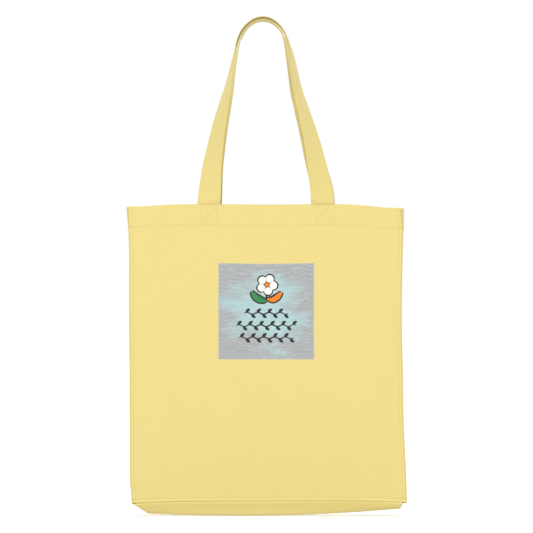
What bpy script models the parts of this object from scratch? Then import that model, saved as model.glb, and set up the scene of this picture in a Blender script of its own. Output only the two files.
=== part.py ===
"""Canvas tote bag: a gusseted shopper with two upright strap handles, in metres, +Z up.

The origin is on the surface the bag stands on, under its middle.  The front faces -Y and
+X is to its right.  Every cloth piece is a thin closed solid, GAP clear of what it is
sewn to.  The pieces sewn to the front panel hang from the empty front_fold, which slides
along +Y when the bag is folded flat, and each handle hangs from an empty on the line
where it bends over the top edge.
"""

import math

import bmesh
import bpy
from mathutils import Vector

# Bag body
BAG_WIDTH = 0.376  # side seam to side seam
BAG_HEIGHT = 0.429  # standing surface to top edge
BAG_DEPTH = 0.075  # front face to back face
CANVAS = 0.0010  # one layer of canvas
HEM_HEIGHT = 0.032  # cloth turned in at the top edge
SEAM_LIFT = 0.018  # bottom seams above the standing surface
BASE_FLAT = 0.048  # depth of the flat strip that the bag stands on
BASE_END_SAG = 0.45  # sag left at the ends of the bottom gusset, as a share of SEAM_LIFT
BASE_END_RUN = 0.035  # length over which the sag fades towards each end

# Handles
STRAP_WIDTH = 0.032
STRAP_THICKNESS = 0.0020
STRAP_SPACING = 0.156  # centre to centre of a handle's two feet
STRAP_TAIL = 0.028  # strap sewn inside the hem
HANDLE_RISE = 0.2575  # top edge to the crown's centre line
CROWN_RADIUS = 0.028
CROWN_SHIFT = -0.005  # the crown leans this far off the middle
FOOT_LEAN = math.radians(4.0)  # lean of a leg where it leaves the bag
CROWN_LEAN = math.radians(14.5)  # lean of a leg where it meets the crown
TWIST_POWER = 0.6  # a leg turns edge-on quickly at first, then slowly
NEST = 0.003  # the back handle's crown fits inside the front one's by this much
BEND_HEIGHT = 0.004  # bending line above the top edge
BEND_PROUD = 0.001  # bending line in front of the panel's outer face

# Sewing, binding and print
THREAD = 0.0008  # width of a sewn line
SEWN_PROUD = 0.0004  # thickness of a sewn line or of the print
BOX_STITCH = 0.022  # side of the crossed square that holds a strap
BOX_STITCH_DROP = 0.002  # top edge of the bag to top of the square
HEM_STITCH_IN = 0.003  # hem stitching above the hem's lower edge
BINDING_WIDTH = 0.010
BINDING_THICKNESS = 0.0015
PRINT_SIZE = 0.132
PRINT_DROP = 0.081  # top edge of the bag to top of the print

# Clearances
GAP = 0.0003  # between pieces that are sewn together
FOLD_CLEARANCE = 0.0045  # left between the two sides' straps when the bag is folded flat

# What follows from them
HEM_THICKNESS = 2 * CANVAS
STRAP_INSET = HEM_THICKNESS + GAP + STRAP_THICKNESS / 2
FOLD_TRAVEL = BAG_DEPTH - 2 * (STRAP_INSET + STRAP_THICKNESS / 2) - FOLD_CLEARANCE
HALF_WIDTH = BAG_WIDTH / 2
HALF_DEPTH = BAG_DEPTH / 2
PANEL_INNER = HALF_DEPTH - CANVAS
GUSSET_EDGE = PANEL_INNER - GAP

# How finely curved pieces are cut
LEG_STEPS = 26
CROWN_STEPS = 16
BASE_STEPS = 7

CANVAS_COLOUR = (0.86, 0.73, 0.30)
STRAP_COLOUR = (0.83, 0.70, 0.27)
THREAD_COLOUR = (0.88, 0.80, 0.46)
BINDING_COLOUR = (0.80, 0.70, 0.38)
PRINT_COLOUR = (0.45, 0.60, 0.62)


def clear_scene():
    for item in list(bpy.data.objects):
        bpy.data.objects.remove(item, do_unlink=True)


def finish(name, colour, roughness):
    material = bpy.data.materials.new(name)
    material.use_nodes = True
    shader = material.node_tree.nodes["Principled BSDF"]
    shader.inputs["Base Color"].default_value = (*colour, 1.0)
    shader.inputs["Roughness"].default_value = roughness
    shader.inputs["Metallic"].default_value = 0.0
    return material


def world_place(item):
    place = item.location.copy()
    while item.parent:
        item = item.parent
        place += item.location
    return place


def put(item, location, parent):
    """Links the item, under its parent if it has one, at a place in world coordinates."""
    bpy.context.scene.collection.objects.link(item)
    item.location = location
    if parent:
        item.parent = parent
        item.location = Vector(location) - world_place(parent)


def joint_empty(name, location, parent=None):
    empty = bpy.data.objects.new(name, None)
    empty.empty_display_size = 0.03
    put(empty, location, parent)
    return empty


def add_object(name, shape, material, parent=None, location=(0.0, 0.0, 0.0)):
    """Turns the bmesh into an object; its mesh counts from location, in world coordinates."""
    bmesh.ops.recalc_face_normals(shape, faces=shape.faces)
    mesh = bpy.data.meshes.new(name)
    shape.to_mesh(mesh)
    shape.free()
    mesh.materials.append(material)
    piece = bpy.data.objects.new(name, mesh)
    put(piece, location, parent)
    return piece


def slab(name, low, high, material, parent=None):
    """A flat piece of cloth, tape or webbing between two opposite corners."""
    low = Vector(low)
    high = Vector(high)
    shape = bmesh.new()
    bmesh.ops.create_cube(shape, size=1.0)
    bmesh.ops.scale(shape, vec=high - low, verts=shape.verts)
    return add_object(name, shape, material, parent, (low + high) / 2)


def extruded(name, outline, run, material, parent=None):
    """The closed outline, a list of points, carried along the vector run."""
    shape = bmesh.new()
    face = shape.faces.new([shape.verts.new(point) for point in outline])
    carried = bmesh.ops.extrude_face_region(shape, geom=[face])["geom"]
    corners = [item for item in carried if isinstance(item, bmesh.types.BMVert)]
    bmesh.ops.translate(shape, vec=run, verts=corners)
    return add_object(name, shape, material, parent)


def panel(name, side, material, parent=None):
    """The front (side -1) or back (side 1) panel, doubled along the top by its turned hem."""
    profile = [
        (HALF_DEPTH, SEAM_LIFT),
        (HALF_DEPTH, BAG_HEIGHT),
        (HALF_DEPTH - HEM_THICKNESS, BAG_HEIGHT),
        (HALF_DEPTH - HEM_THICKNESS, BAG_HEIGHT - HEM_HEIGHT),
        (PANEL_INNER, BAG_HEIGHT - HEM_HEIGHT),
        (PANEL_INNER, SEAM_LIFT),
    ]
    outline = [(-HALF_WIDTH, side * y, z) for y, z in profile]
    return extruded(name, outline, (BAG_WIDTH, 0.0, 0.0), material, parent)


def base_height(x, y):
    """Underside of the bottom gusset: flat along the middle, curving up to both seams."""
    flat = BASE_FLAT / 2
    out = max(0.0, abs(y) - flat) / (GUSSET_EDGE - flat)
    across = math.cos(out * math.pi / 2)
    near_end = max(0.0, abs(x) - (HALF_WIDTH - BASE_END_RUN)) / BASE_END_RUN
    fade = (1.0 - math.cos(min(near_end, 1.0) * math.pi)) / 2
    along = 1.0 - (1.0 - BASE_END_SAG) * fade
    return SEAM_LIFT * (1.0 - across * along)


def base_rows():
    """The places across the bottom gusset where it is cut into facets, front to back."""
    flat = BASE_FLAT / 2
    rise = [flat + (GUSSET_EDGE - flat) * step / BASE_STEPS for step in range(BASE_STEPS + 1)]
    return [-y for y in reversed(rise)] + rise


def bottom_gusset(material):
    """The sagging strip under the bag, a sheet thickened inwards."""
    end = HALF_WIDTH - CANVAS - GAP
    near = [HALF_WIDTH - BASE_END_RUN * (1 - step / BASE_STEPS) for step in range(BASE_STEPS)]
    columns = [-end] + [-x for x in reversed(near)] + near + [end]
    shape = bmesh.new()
    grid = [
        [shape.verts.new((x, y, base_height(x, y))) for y in base_rows()] for x in columns
    ]
    for left, right in zip(grid, grid[1:]):
        for near_left, far_left, near_right, far_right in zip(left, left[1:], right, right[1:]):
            shape.faces.new((near_left, near_right, far_right, far_left))
    piece = add_object("bottom_gusset", shape, material)
    thicken = piece.modifiers.new("canvas", "SOLIDIFY")
    thicken.thickness = CANVAS
    upward = piece.data.polygons[0].normal.z > 0
    thicken.offset = 1.0 if upward else -1.0
    return piece


def side_gusset(name, side, material):
    """The strip between the panels at the left (side -1) or right (side 1)."""
    outer = side * HALF_WIDTH
    lower = [(outer, y, base_height(HALF_WIDTH, y)) for y in base_rows()]
    hem_z = BAG_HEIGHT - HEM_HEIGHT - GAP
    hem_edge = HALF_DEPTH - HEM_THICKNESS - GAP
    upper = [(GUSSET_EDGE, hem_z), (hem_edge, hem_z), (hem_edge, BAG_HEIGHT)]
    mirrored = [(-y, z) for y, z in reversed(upper)]
    outline = lower + [(outer, y, z) for y, z in upper + mirrored]
    return extruded(name, outline, (-side * CANVAS, 0.0, 0.0), material)


def bezier(start, start_pull, end_pull, end, share):
    rest = 1.0 - share
    return (
        start * rest**3
        + start_pull * 3 * rest**2 * share
        + end_pull * 3 * rest * share**2
        + end * share**3
    )


def leg_route(side, centre, crown_radius):
    """One leg's centre line from its foot to the crown's arc, as (place, turn)."""
    foot = Vector((side * STRAP_SPACING / 2, BEND_HEIGHT))
    foot_way = Vector((-side * math.sin(FOOT_LEAN), math.cos(FOOT_LEAN)))
    crown_way = Vector((-side * math.sin(CROWN_LEAN), math.cos(CROWN_LEAN)))
    outward = Vector((side * math.cos(CROWN_LEAN), math.sin(CROWN_LEAN)))
    shoulder = centre + outward * crown_radius
    pull = (shoulder - foot).length / 3
    foot_pull = foot + foot_way * pull
    shoulder_pull = shoulder - crown_way * pull
    leg = []
    for step in range(LEG_STEPS):
        share = step / LEG_STEPS
        place = bezier(foot, foot_pull, shoulder_pull, shoulder, share)
        leg.append((place, share**TWIST_POWER))
    return leg


def handle_route(rise, crown_radius):
    """Centre line of a handle from left to right, as (place, turn), place being (x, height).

    Heights count from the top edge.  turn goes from 0, flat to the panel, to 1, edge-on."""
    centre = Vector((CROWN_SHIFT, rise - crown_radius))
    left = leg_route(-1, centre, crown_radius)
    right = leg_route(1, centre, crown_radius)
    crown = []
    for step in range(CROWN_STEPS + 1):
        around = math.pi - CROWN_LEAN - (math.pi - 2 * CROWN_LEAN) * step / CROWN_STEPS
        place = centre + Vector((math.cos(around), math.sin(around))) * crown_radius
        crown.append((place, 1.0))
    return left + crown + right[::-1]


def handle(name, side, nest, material, parent):
    """A strap handle: its legs leave the hem flat and turn edge-on before the crown.

    The inner edge of each leg turns towards the front, so the face that looks forward at
    the feet looks outward and up along the crown."""
    origin = world_place(parent)
    strap_y = side * (HALF_DEPTH - STRAP_INSET)
    route = handle_route(HANDLE_RISE - nest, CROWN_RADIUS - nest)
    shape = bmesh.new()
    rings = []
    for index, (place, turn) in enumerate(route):
        before = route[max(index - 1, 0)][0]
        after = route[min(index + 1, len(route) - 1)][0]
        flow = Vector((after.x - before.x, 0.0, after.y - before.y)).normalized()
        if index in (0, len(route) - 1):
            flow = Vector((0.0, 0.0, 1.0 if index == 0 else -1.0))
        inwards = Vector((flow.z, 0.0, -flow.x))
        angle = turn * math.pi / 2
        widthways = inwards * math.cos(angle) + Vector((0.0, -math.sin(angle), 0.0))
        outwards = widthways.cross(flow)
        middle = Vector((place.x, strap_y, BAG_HEIGHT + place.y)) - origin
        half_w = widthways * STRAP_WIDTH / 2
        half_t = outwards * STRAP_THICKNESS / 2
        corners = (
            middle - half_w - half_t,
            middle + half_w - half_t,
            middle + half_w + half_t,
            middle - half_w + half_t,
        )
        rings.append([shape.verts.new(corner) for corner in corners])
    for low, high in zip(rings, rings[1:]):
        for corner in range(4):
            after = (corner + 1) % 4
            shape.faces.new((low[corner], low[after], high[after], high[corner]))
    shape.faces.new(rings[0])
    shape.faces.new(rings[-1][::-1])
    return add_object(name, shape, material, parent, origin)


def strap_tail(name, side, centre_x, material, parent=None):
    """The end of a strap inside the hem, up to the line where the handle bends."""
    inner = HALF_DEPTH - HEM_THICKNESS - GAP
    ys = sorted((side * inner, side * (inner - STRAP_THICKNESS)))
    low = (centre_x - STRAP_WIDTH / 2, ys[0], BAG_HEIGHT - STRAP_TAIL)
    high = (centre_x + STRAP_WIDTH / 2, ys[1], BAG_HEIGHT + BEND_HEIGHT - GAP)
    return slab(name, low, high, material, parent)


def box_stitch(name, side, centre_x, material, parent=None):
    """Lines sewn round and corner to corner of a square, as one flat pierced piece."""
    half = BOX_STITCH / 2
    skew = THREAD / math.sqrt(2)
    y = side * (HALF_DEPTH + GAP)
    centre = Vector((centre_x, y, BAG_HEIGHT - BOX_STITCH_DROP - half))
    shape = bmesh.new()
    corners, starts, ends, tips = [], [], [], []
    for quarter in range(4):
        angle = quarter * math.pi / 2
        out = Vector((math.cos(angle), 0.0, math.sin(angle)))
        along = Vector((-math.sin(angle), 0.0, math.cos(angle)))
        base = out * (half - THREAD)
        reach = along * (half - THREAD - skew)
        corners.append(shape.verts.new(centre + (out - along) * half))
        starts.append(shape.verts.new(centre + base - reach))
        ends.append(shape.verts.new(centre + base + reach))
        tips.append(shape.verts.new(centre + out * skew))
    faces = [shape.faces.new(tips)]
    for quarter in range(4):
        last = quarter - 1
        following = (quarter + 1) % 4
        faces.append(
            shape.faces.new((corners[quarter], corners[following], ends[quarter], starts[quarter]))
        )
        faces.append(shape.faces.new((corners[quarter], starts[quarter], ends[last])))
        faces.append(
            shape.faces.new((ends[last], starts[quarter], tips[quarter], tips[last]))
        )
    carried = bmesh.ops.extrude_face_region(shape, geom=faces)["geom"]
    raised = [item for item in carried if isinstance(item, bmesh.types.BMVert)]
    bmesh.ops.translate(shape, vec=(0.0, side * SEWN_PROUD, 0.0), verts=raised)
    return add_object(name, shape, material, parent)


def flat_on_panel(name, side, low_x, high_x, low_z, high_z, material, parent=None):
    """Thread or print lying on a panel's outer face."""
    ys = sorted((side * (HALF_DEPTH + GAP), side * (HALF_DEPTH + GAP + SEWN_PROUD)))
    return slab(name, (low_x, ys[0], low_z), (high_x, ys[1], high_z), material, parent)


def seam_bindings(prefix, side, material, parent=None):
    """Tapes over the seam edges inside the bag: one up each side and one along the bottom."""
    inner = PANEL_INNER - GAP
    ys = sorted((side * inner, side * (inner - BINDING_THICKNESS)))
    end = HALF_WIDTH - CANVAS - GAP
    low_z = SEAM_LIFT + CANVAS + GAP
    side_low = low_z + BINDING_WIDTH + GAP
    side_high = BAG_HEIGHT - HEM_HEIGHT - GAP
    slab(
        prefix + "_bottom_seam_binding",
        (-end, ys[0], low_z),
        (end, ys[1], low_z + BINDING_WIDTH),
        material,
        parent,
    )
    for word, hand in (("left", -1), ("right", 1)):
        xs = sorted((hand * end, hand * (end - BINDING_WIDTH)))
        slab(
            f"{prefix}_{word}_seam_binding",
            (xs[0], ys[0], side_low),
            (xs[1], ys[1], side_high),
            material,
            parent,
        )


def bag_side(word, side, nest, finishes, parent=None):
    """One panel with all that is sewn to it, and its handle."""
    panel(word + "_panel", side, finishes["canvas"], parent)
    seam_bindings(word, side, finishes["binding"], parent)
    line_z = BAG_HEIGHT - HEM_HEIGHT + HEM_STITCH_IN
    flat_on_panel(
        word + "_hem_stitching",
        side,
        -HALF_WIDTH,
        HALF_WIDTH,
        line_z,
        line_z + THREAD,
        finishes["thread"],
        parent,
    )
    for hand_word, hand in (("left", -1), ("right", 1)):
        centre_x = hand * STRAP_SPACING / 2
        start = f"{word}_{hand_word}"
        strap_tail(start + "_strap_tail", side, centre_x, finishes["strap"], parent)
        box_stitch(start + "_box_stitch", side, centre_x, finishes["thread"], parent)
    bend_line = (0.0, side * (HALF_DEPTH + BEND_PROUD), BAG_HEIGHT + BEND_HEIGHT)
    bend = joint_empty(word + "_handle_bend", bend_line, parent)
    handle(word + "_handle", side, nest, finishes["strap"], bend)


def main():
    clear_scene()
    finishes = {
        "canvas": finish("canvas", CANVAS_COLOUR, 0.92),
        "strap": finish("strap", STRAP_COLOUR, 0.92),
        "thread": finish("thread", THREAD_COLOUR, 0.75),
        "binding": finish("binding", BINDING_COLOUR, 0.88),
        "print": finish("print", PRINT_COLOUR, 0.70),
    }
    bag_side("back", 1, NEST, finishes)
    side_gusset("left_gusset", -1, finishes["canvas"])
    side_gusset("right_gusset", 1, finishes["canvas"])
    bottom_gusset(finishes["canvas"])
    front_fold = joint_empty("front_fold", (0.0, -HALF_DEPTH, 0.0))
    bag_side("front", -1, 0.0, finishes, front_fold)
    print_top = BAG_HEIGHT - PRINT_DROP
    flat_on_panel(
        "front_print",
        -1,
        -PRINT_SIZE / 2,
        PRINT_SIZE / 2,
        print_top - PRINT_SIZE,
        print_top,
        finishes["print"],
        front_fold,
    )


main()
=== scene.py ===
"""Canvas tote bag, sewn from pale yellow plain-weave canvas, standing with its handles up.

Every sewn piece is laid out flat and square first, in "cut" coordinates, where the bag is a
plain box.  hang() then carries those places to the slack shape that the cloth takes, so
that panels, hems, seams, stitches and print stay together.
"""

import math

import bmesh
import bpy
import numpy as np
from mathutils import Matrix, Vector


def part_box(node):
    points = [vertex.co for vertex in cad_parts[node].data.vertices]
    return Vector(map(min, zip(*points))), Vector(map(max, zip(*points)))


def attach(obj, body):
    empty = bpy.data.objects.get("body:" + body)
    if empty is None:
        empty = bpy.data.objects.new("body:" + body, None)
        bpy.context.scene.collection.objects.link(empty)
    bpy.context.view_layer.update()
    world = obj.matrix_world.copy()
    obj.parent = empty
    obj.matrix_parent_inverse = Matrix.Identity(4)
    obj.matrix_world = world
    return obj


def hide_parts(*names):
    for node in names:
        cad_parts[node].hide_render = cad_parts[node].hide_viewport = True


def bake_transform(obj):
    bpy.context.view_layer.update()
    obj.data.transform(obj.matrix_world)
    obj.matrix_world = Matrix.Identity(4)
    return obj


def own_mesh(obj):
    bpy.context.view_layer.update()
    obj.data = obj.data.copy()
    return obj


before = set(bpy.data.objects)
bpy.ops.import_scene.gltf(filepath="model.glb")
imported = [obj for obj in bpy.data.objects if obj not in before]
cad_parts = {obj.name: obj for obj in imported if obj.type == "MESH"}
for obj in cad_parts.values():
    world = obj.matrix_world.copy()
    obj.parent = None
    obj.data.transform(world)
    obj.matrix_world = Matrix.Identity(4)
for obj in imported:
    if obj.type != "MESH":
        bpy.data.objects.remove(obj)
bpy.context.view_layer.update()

MM = 0.001

# ---------------------------------------------------------------- sizes read from the frame
panel_low, panel_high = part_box("front_panel")
back_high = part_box("back_panel")[1]
tail_low, tail_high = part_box("front_left_strap_tail")
loop_low, loop_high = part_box("front_handle")
back_loop_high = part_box("back_handle")[1]
print_low, print_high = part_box("front_print")
square_low, square_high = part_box("front_left_box_stitch")
hem_line_low, hem_line_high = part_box("front_hem_stitching")
binding_low, binding_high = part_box("front_left_seam_binding")

HALF_W = panel_high.x
FRONT_Y = panel_low.y
BACK_Y = back_high.y
HALF_D = (BACK_Y - FRONT_Y) / 2
SEAM_Z = panel_low.z
TOP_Z = panel_high.z
STRAP_X = (tail_low.x + tail_high.x) / 2
STRAP_W = tail_high.x - tail_low.x
STRAP_T = 0.9 * (tail_high.y - tail_low.y)
STRAP_Y = (tail_low.y + tail_high.y) / 2
FOOT_Z = loop_low.z
CROWN_Z = loop_high.z - 1.0 * MM
BACK_CROWN_Z = back_loop_high.z - 0.7 * MM
HEM_LINE_Z = (hem_line_low.z + hem_line_high.z) / 2

# ---------------------------------------------------------------- sizes of the sewing
CLOTH = 1.0 * MM  # thickness of one layer
HEM = 32 * MM  # cloth turned in at the top
FOLD_GAP = 0.15 * MM  # air between the hem's two layers
WELT = 5 * MM  # width of the raised seam edge
WELT_RISE = 0.55 * MM
CREASE_HALF = 20.5 * MM  # half the width of the crease down the middle of each side strip
TUCK = 0.9 * MM  # the side and bottom strips start this far behind the panels' faces
BASE_TUCK = 1.15 * MM
STITCH_PITCH = 3.2 * MM
STITCH_LENGTH = 2.7 * MM
STITCH_WIDE = 0.48 * MM
STITCH_IN = 4.3 * MM  # seam edge to its row of stitches
CROWN_RADIUS = 28 * MM
CROWN_SHIFT = -5 * MM
FOOT_LEAN = math.radians(4.0)
CROWN_LEAN = math.radians(14.5)
TURN_POWER = 0.62  # under 1, a leg does most of its turning low down
# How soon each leg is turned edge on as it climbs, by (leg, far handle).
EARLY_TURN = {(-1, False): 1.06, (-1, True): 1.00, (1, False): 0.99, (1, True): 0.92}


# ---------------------------------------------------------------- how the cloth hangs
def smooth(value, start, end):
    """0 before start, 1 after end, eased between; start may be above end."""
    share = np.clip((value - start) / (end - start), 0.0, 1.0)
    return share * share * (3.0 - 2.0 * share)


def bump(value, middle, reach):
    """1 at the middle, easing to 0 at reach on both sides."""
    return smooth(np.abs(value - middle), reach, 0.0)


def left_shift(z):
    """How far the left side seam hangs off the square cut, at each height."""
    flare = -2.8 * MM * smooth(z, 0.350, TOP_Z)
    waist = -0.9 * MM * bump(z, 0.300, 0.150)
    return flare + waist + 2.4 * MM * smooth(z, 0.055, SEAM_Z)


def right_shift(z):
    """The same for the right side seam, which swings out towards the bottom."""
    shoulder = -2.6 * MM * smooth(z, 0.395, TOP_Z)
    waist = -2.0 * MM * bump(z, 0.285, 0.130)
    return shoulder + waist + 5.0 * MM * smooth(z, 0.160, SEAM_Z)


def top_shift(x):
    """The top edge: held up at the straps, slack between them and at the corners."""
    left_corner = -3.2 * MM * smooth(x, -0.110, -HALF_W)
    right_corner = -5.2 * MM * smooth(x, 0.105, HALF_W)
    return 0.5 * MM + left_corner + right_corner


def bottom_shift(x):
    """The bottom seam: a little slack at both ends."""
    return 2.7 * MM * (1.0 - (x / HALF_W) ** 4) + 0.6 * MM * (1.0 + x / HALF_W)


def slow_waves(x, z, seed):
    """Broad soft undulation of a hanging cloth, about -1 to 1."""
    rng = np.random.default_rng(seed)
    total = np.zeros_like(x)
    for _ in range(7):
        angle = rng.uniform(-0.5, 0.5)
        length = rng.uniform(0.10, 0.26)
        phase = rng.uniform(0.0, 2 * math.pi)
        across = x * math.cos(angle) + z * math.sin(angle)
        total += np.sin(across * 2 * math.pi / length + phase)
    return total / 4.0


def crease(x, z, at, reach, lean, length):
    """One soft pressed crease: a short leaning valley."""
    dx, dz = x - at[0], z - at[1]
    across = dx * math.cos(lean) - dz * math.sin(lean)
    along = dx * math.sin(lean) + dz * math.cos(lean)
    return -np.exp(-((across / reach) ** 2)) * np.exp(-((along / length) ** 2))


FRONT_CREASES = (
    ((0.163, 0.245), 9 * MM, 0.30, 0.050),
    ((0.170, 0.150), 8 * MM, -0.25, 0.045),
    ((0.150, 0.352), 10 * MM, 0.45, 0.040),
    ((-0.160, 0.300), 10 * MM, -0.18, 0.060),
    ((0.128, 0.060), 9 * MM, 0.70, 0.035),
    ((-0.145, 0.075), 9 * MM, -0.60, 0.035),
    ((-0.118, 0.380), 9 * MM, 0.55, 0.030),
)
BACK_CREASES = (
    ((-0.060, 0.210), 10 * MM, 0.35, 0.070),
    ((0.120, 0.300), 9 * MM, -0.30, 0.060),
    ((-0.150, 0.110), 9 * MM, 0.60, 0.050),
    ((0.040, 0.090), 11 * MM, -0.90, 0.060),
    ((0.000, 0.360), 10 * MM, 1.20, 0.050),
)


def relief(x, z, seed, creases):
    """How far a panel's cloth stands out from flat, at each place on it."""
    inside = smooth(np.abs(x), HALF_W, HALF_W - 0.05) * smooth(z, SEAM_Z, SEAM_Z + 0.09)
    held = 1.0 - 0.75 * smooth(z, TOP_Z - 0.05, TOP_Z)
    belly = 1.8 * MM * inside * smooth(z, TOP_Z, 0.10)
    total = belly + 0.75 * MM * slow_waves(x, z, seed) * inside * held
    for at, reach, lean, length in creases:
        total += 0.55 * MM * crease(x, z, at, reach, lean, length) * inside
    return total


def hang(points):
    """Carries places from the square cut to the hanging bag."""
    points = np.asarray(points, float)
    x, y, z = points[..., 0], points[..., 1], points[..., 2]
    across = np.clip((x + HALF_W) / (2 * HALF_W), 0.0, 1.0)
    depth = np.clip((y - FRONT_Y) / (BACK_Y - FRONT_Y), 0.0, 1.0)
    out = points.copy()
    out[..., 0] += left_shift(z) * (1 - across) ** 3 + right_shift(z) * across**3
    rise = smooth(z, 0.250, TOP_Z)
    drop = smooth(z, 0.200, SEAM_Z)
    sag = (0.7 + 0.8 * smooth(depth, 0.6, 0.1)) * MM * bump(x, 0.0, 0.070)
    out[..., 2] += (top_shift(x) - sag) * rise + bottom_shift(x) * drop
    front = smooth(depth, 0.45, 0.0)
    back = smooth(depth, 0.55, 1.0)
    out[..., 1] -= relief(x, z, 3, FRONT_CREASES) * front
    out[..., 1] += relief(x, z, 11, BACK_CREASES) * back
    # The side strips fold in softly along their middle and flare at the mouth.
    ridge = 1.0 - np.abs(2.0 * depth - 1.0) ** 1.5
    middle = smooth(np.abs(y), CREASE_HALF, 0.002)
    pressed = 6.5 * MM * smooth(z, SEAM_Z, 0.10) * smooth(z, TOP_Z + 0.005, 0.30)
    flare_left = 3.3 * MM * smooth(z, 0.380, TOP_Z)
    flare_right = 5.6 * MM * smooth(z, 0.375, TOP_Z)
    ripple = 0.8 * MM * np.sin(z * 52.0 + 3.0 * depth) * smooth(z, SEAM_Z, 0.06)
    near_side = smooth(np.abs(x), HALF_W - 0.025, HALF_W - 0.002)
    right = x > 0
    flare = np.where(right, flare_right, flare_left)
    outward = (flare * ridge + (ripple - pressed) * middle) * near_side
    out[..., 0] += np.where(right, outward, -outward)
    return out


def base_z(x, y):
    """Height of the sagging bottom strip as it hangs, which rises to the seams."""
    seam = SEAM_Z + bottom_shift(x)
    base = 8.4 * MM * np.clip((x + 0.030) / 0.194, 0, None) ** 2
    base = base + 3.6 * MM * np.clip((-x - 0.030) / 0.150, 0, None) ** 2
    left_end = 1.0 - (1.0 - np.clip((x + 0.1865) / 0.0215, 0.0, 1.0)) ** 1.15
    right_end = smooth(x, 0.1845, 0.1790)
    depth = np.clip(np.abs(y) / (HALF_D - BASE_TUCK), 0.0, 1.0)
    turned = np.clip((depth - 0.42) / 0.58, 0.0, 1.0)
    across = np.clip(1.0 - turned**3.4, 0.0, 1.0) ** (1 / 3.4)
    ends = left_end * right_end
    edge = seam - 0.65 * MM - 0.8 * MM * (1.0 - ends)
    return edge - (edge - base) * (0.04 + 0.96 * ends) * across


# ---------------------------------------------------------------- meshes
def new_object(name, points, faces, material, smooth_shade=True):
    mesh = bpy.data.meshes.new(name)
    mesh.from_pydata(np.asarray(points, float).reshape(-1, 3).tolist(), [], faces)
    mesh.validate()
    mesh.materials.append(material)
    if smooth_shade:
        mesh.shade_smooth()
    item = bpy.data.objects.new(name, mesh)
    bpy.context.scene.collection.objects.link(item)
    return item


def point_outwards(item):
    shape = bmesh.new()
    shape.from_mesh(item.data)
    bmesh.ops.recalc_face_normals(shape, faces=shape.faces)
    if shape.calc_volume(signed=True) < 0:
        bmesh.ops.reverse_faces(shape, faces=shape.faces)
    shape.to_mesh(item.data)
    shape.free()
    return item


def write_tone(item, tone):
    """Painted light and shade at each place: below 0 painted shade in a sewn groove, along an edge or
    between the handles, above 0 a painted highlight on a raised ridge.
    """
    layer = item.data.attributes.new("tone", "FLOAT", "POINT")
    layer.data.foreach_set("value", np.asarray(tone, np.float32).ravel())


def write_uv(item, uv):
    """Gives each vertex its place on the flat cloth, in metres."""
    layer = item.data.uv_layers.new(name="cloth")
    corners = np.empty(len(item.data.loops), np.int32)
    item.data.loops.foreach_get("vertex_index", corners)
    layer.data.foreach_set("uv", np.asarray(uv, np.float32)[corners].ravel())


def cloth(name, outer, inner, uv, material, tone=None):
    """A closed sheet between two grids of places, with a rounded edge all round."""
    rows, columns = outer.shape[:2]
    loops = [(r, 0) for r in range(rows)]
    loops += [(rows - 1, c) for c in range(1, columns)]
    loops += [(r, columns - 1) for r in range(rows - 2, -1, -1)]
    loops += [(0, c) for c in range(columns - 2, 0, -1)]
    rim = []
    for r, c in loops:
        near = (min(max(r, 1), rows - 2), min(max(c, 1), columns - 2))
        middle = (outer[r, c] + inner[r, c]) / 2
        away = middle - (outer[near] + inner[near]) / 2
        rim.append(middle + away / (np.linalg.norm(away) + 1e-12) * CLOTH * 0.3)
    points = np.concatenate([outer.reshape(-1, 3), inner.reshape(-1, 3), np.array(rim)])
    count = rows * columns
    index = np.arange(count).reshape(rows, columns)
    a, b = index[:-1, :-1].ravel(), index[:-1, 1:].ravel()
    c, d = index[1:, 1:].ravel(), index[1:, :-1].ravel()
    faces = np.stack([a, b, c, d], axis=1).tolist()
    faces += (np.stack([d, c, b, a], axis=1) + count).tolist()
    for at in range(len(loops)):
        after = (at + 1) % len(loops)
        here, there = index[loops[at]], index[loops[after]]
        edge, next_edge = 2 * count + at, 2 * count + after
        faces.append([here, edge, next_edge, there])
        faces.append([edge, here + count, there + count, next_edge])
    item = new_object(name, points, faces, material)
    flat = np.asarray(uv, float).reshape(-1, 2)
    rim_uv = np.array([uv[r][c] for r, c in loops])
    write_uv(item, np.concatenate([flat, flat + (0.37, 0.11), rim_uv]))
    if tone is not None:
        rim_tone = np.array([tone[r, c] for r, c in loops])
        write_tone(item, np.concatenate([tone.ravel(), 0.0 * tone.ravel(), rim_tone]))
    return point_outwards(item)


def spaced(start, end, pitch):
    return np.linspace(start, end, max(2, int(round(abs(end - start) / pitch)) + 1))


def joined(*parts):
    """One rising list from several, with doubled ends left out."""
    together = np.concatenate(parts)
    return together[np.concatenate([[True], np.diff(together) > 1e-7])]


# ---------------------------------------------------------------- panels
def strap_print_through(x, z):
    """The strap ends inside the hem lift the cloth over them."""
    away = np.abs(np.abs(x) - abs(STRAP_X)) - STRAP_W / 2
    return 0.35 * MM * smooth(away, 1.2 * MM, -0.6 * MM) * smooth(z, tail_low.z - MM, tail_low.z + MM)


def sewn_groove(x, z):
    """How far rows of stitches pull the panel's face in."""
    pull = bump(z, HEM_LINE_Z, 1.6 * MM) * 0.34 * MM
    pull = pull + bump(HALF_W - np.abs(x), STITCH_IN + 0.4 * MM, 1.6 * MM) * 0.42 * MM
    pull = pull + bump(z - SEAM_Z, STITCH_IN + 0.4 * MM, 1.6 * MM) * 0.42 * MM
    middle_z = (square_low.z + square_high.z) / 2
    half = (square_high.z - square_low.z) / 2
    dx, dz = np.abs(np.abs(x) - abs(STRAP_X)), np.abs(z - middle_z)
    inside = (dx < half + 1.3 * MM) & (dz < half + 1.3 * MM)
    frame_line = bump(np.maximum(dx, dz), half - 0.4 * MM, 1.3 * MM)
    cross = bump(np.abs(dx - dz) / math.sqrt(2), 0.0, 1.3 * MM) * (np.maximum(dx, dz) < half)
    return pull + np.where(inside, np.maximum(frame_line, cross), 0.0) * 0.40 * MM


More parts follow.
